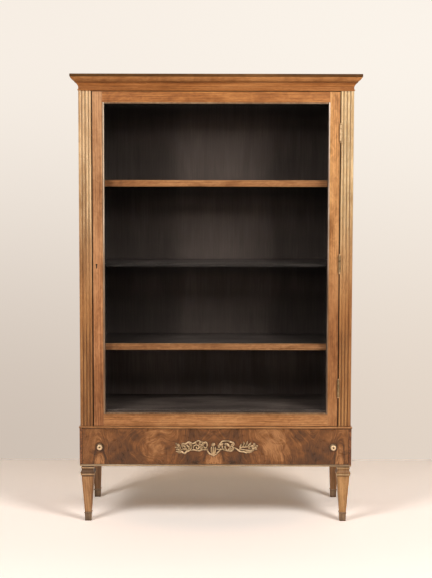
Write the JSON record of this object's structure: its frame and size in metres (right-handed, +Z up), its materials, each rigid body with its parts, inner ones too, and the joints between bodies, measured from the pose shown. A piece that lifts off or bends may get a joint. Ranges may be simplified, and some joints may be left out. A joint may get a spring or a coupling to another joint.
{
  "type": "bookcase with glass door",
  "caption": "Walnut display bookcase on tapered legs, with a tall glazed hinged door over shelves, fluted pilasters, a moulded cornice and a wide drawer in the base.",
  "frame": {"origin": "on the floor, under the middle of the overall box", "axes": "+X to the right seen from the front, +Y from the front to the back, +Z up"},
  "size_m": [0.963, 0.386, 1.501],
  "materials": {
    "walnut": "waxed walnut, straight grain, satin",
    "red_walnut": "waxed walnut, redder, satin",
    "dark_top": "dark stained edge, satin",
    "figured_veneer": "book-matched figured walnut veneer, french polished",
    "pale_bead": "pale worn moulding, satin",
    "leg_walnut": "waxed walnut, satin",
    "dark_shoe": "dark stained, satin",
    "dark_interior": "dark stained inside, matte",
    "plain_timber": "plain unfinished timber, matte",
    "brass": "old polished brass",
    "steel": "plain steel",
    "glass": "clear bevelled glass"
  },
  "bodies": {
    "carcass": {"top_board": "dark_top", "cornice_front": "red_walnut", "cornice_left": "red_walnut", "cornice_right": "red_walnut", "cornice_back_rail": "plain_timber", "left_side_panel": "walnut", "right_side_panel": "walnut", "left_pilaster": "walnut", "right_pilaster": "walnut", "back_board_left": "dark_interior", "back_board_centre": "dark_interior", "back_board_right": "dark_interior", "case_floor": "dark_interior", "floor_front_rail": "dark_interior", "case_ceiling": "dark_interior", "top_door_stop": "dark_interior", "lower_shelf": "dark_interior", "lower_shelf_lipping": "walnut", "middle_shelf": "dark_interior", "upper_shelf": "dark_interior", "upper_shelf_lipping": "walnut", "shelf_cleats": "dark_interior", "waist_board": "red_walnut", "base_left_side": "figured_veneer", "base_right_side": "figured_veneer", "base_back_rail": "plain_timber", "base_floor": "red_walnut", "front_left_leg": "leg_walnut", "front_right_leg": "leg_walnut", "rear_left_leg": "leg_walnut", "rear_right_leg": "leg_walnut", "leg_shoes": "dark_shoe", "upper_hinge_post_leaf": "brass", "middle_hinge_post_leaf": "brass", "lower_hinge_post_leaf": "brass", "hinge_pins": "brass", "hinge_post_screws": "steel", "lock_keep": "brass"},
    "door": {"door_lock_stile": "walnut", "door_hinge_stile": "walnut", "door_top_rail": "walnut", "door_bottom_rail": "walnut", "sight_beads": "pale_bead", "glass_stops": "dark_interior", "glass_pane": "glass", "upper_hinge_door_leaf": "brass", "middle_hinge_door_leaf": "brass", "lower_hinge_door_leaf": "brass", "hinge_door_screws": "steel", "lock_case": "steel"},
    "drawer": {"drawer_front": "figured_veneer", "drawer_left_side": "plain_timber", "drawer_right_side": "plain_timber", "drawer_back": "plain_timber", "drawer_bottom": "plain_timber", "left_knob": "brass", "right_knob": "brass", "knob_nuts": "steel", "scroll_mount": "brass"},
    "lock_bolt": {"lock_bolt": "steel"}
  },
  "joints": [
    {"name": "door_hinge", "type": "hinge", "parent": "carcass", "child": "door", "pos_m": [0.4118, -0.1712, 0.8875], "axis": [0, 0, 1], "range_deg": [0, 170]},
    {"name": "drawer_slide", "type": "slide", "parent": "carcass", "child": "drawer", "axis": [0, -1, 0], "range_m": [0, 0.25]},
    {"name": "lock_bolt_slide", "type": "slide", "parent": "door", "child": "lock_bolt", "axis": [-1, 0, 0], "range_m": [0, 0.008]}
  ]
}
